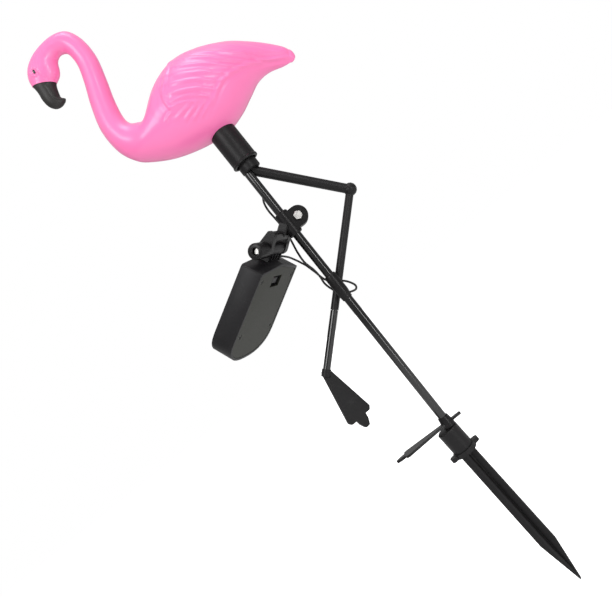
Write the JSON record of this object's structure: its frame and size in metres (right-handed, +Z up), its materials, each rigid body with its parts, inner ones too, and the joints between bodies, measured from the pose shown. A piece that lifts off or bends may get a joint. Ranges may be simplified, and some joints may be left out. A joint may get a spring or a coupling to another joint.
{
  "type": "solar flamingo garden light",
  "caption": "Pink flamingo ornament on a black pole with one bent leg, a small tilting solar battery box clamped to the pole, and a ground stake.",
  "frame": {"origin": "on the pole's axis at ground level, where the stake's flange rests on the soil", "axes": "+Z up along the pole, -X the way the bird looks, +Y away from the picture's camera"},
  "size_m": [0.261, 0.1198, 0.7911],
  "materials": {
    "pink": "glossy moulded pink plastic",
    "beak": "satin black painted plastic",
    "satin_black": "satin black moulded plastic",
    "black_tube": "semi-gloss black painted steel tube",
    "matte_black": "matte black moulded plastic",
    "cover": "fine-textured dark olive-grey plastic",
    "cell": "dark blue solar cell under clear resin",
    "steel": "zinc-plated steel",
    "lead": "black cable sheath"
  },
  "bodies": {
    "light": {"flamingo_body": "pink", "beak": "beak", "pole_socket": "matte_black", "bent_leg": "matte_black", "shin_tube": "black_tube", "hanging_foot": "matte_black", "lower_pole": "black_tube", "upper_pole": "black_tube", "cross_joint": "satin_black", "standing_foot": "satin_black", "ground_stake": "matte_black", "pole_clamp": "satin_black", "clamp_bolt": "steel", "clamp_nut": "steel", "hinge_knob": "satin_black", "hinge_bolt": "steel", "hinge_nut": "steel", "panel_lead": "lead"},
    "solar_panel": {"panel_housing": "matte_black", "panel_back": "cover", "switch_button": "matte_black", "cover_screw_1": "steel", "cover_screw_2": "steel", "cover_screw_3": "steel", "cover_screw_4": "steel", "solar_cell": "cell"}
  },
  "joints": [
    {"name": "panel_tilt", "type": "hinge", "parent": "light", "child": "solar_panel", "pos_m": [-0.0286, -0.0003, 0.2928], "axis": [0.3981, 0.9112, -0.1063], "range_deg": [-35, 45]}
  ]
}
